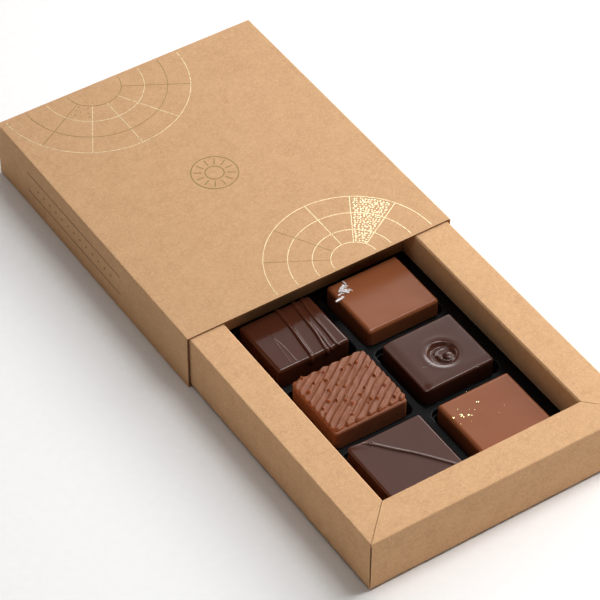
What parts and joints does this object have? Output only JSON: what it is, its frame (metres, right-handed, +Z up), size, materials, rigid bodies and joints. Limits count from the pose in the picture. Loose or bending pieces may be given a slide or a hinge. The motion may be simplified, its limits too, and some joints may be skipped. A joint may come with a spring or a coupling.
{
  "type": "box of chocolate pralines",
  "caption": "Shallow kraft card gift box: a tray with a wide folded frame slides out of a sleeve and holds square chocolate pralines in a black moulded insert.",
  "frame": {"origin": "middle of the footprint of the box as it stands with its tray drawn out, on the table", "axes": "+X across the box, +Y along it from the tray towards the sleeve, +Z up"},
  "size_m": [0.1018, 0.2246, 0.0221],
  "materials": {
    "kraft_card": "matt, fine fibres",
    "black_plastic": "gloss",
    "dark_chocolate": "satin",
    "milk_chocolate": "satin",
    "white_flakes": "matt",
    "gold_leaf": "bright leaf",
    "gold_foil": "hot stamped foil"
  },
  "bodies": {
    "sleeve": {"sleeve": "kraft_card"},
    "tray": {"tray": "kraft_card", "insert": "black_plastic", "praline_lines": "dark_chocolate", "praline_flakes": "milk_chocolate", "praline_textured": "milk_chocolate", "praline_swirl": "dark_chocolate", "praline_ridge": "dark_chocolate", "praline_gold": "milk_chocolate"}
  },
  "joints": [
    {"name": "tray_slide", "type": "slide", "parent": "sleeve", "child": "tray", "axis": [0, -1, 0], "range_m": [-0.10225, 0.02]}
  ]
}
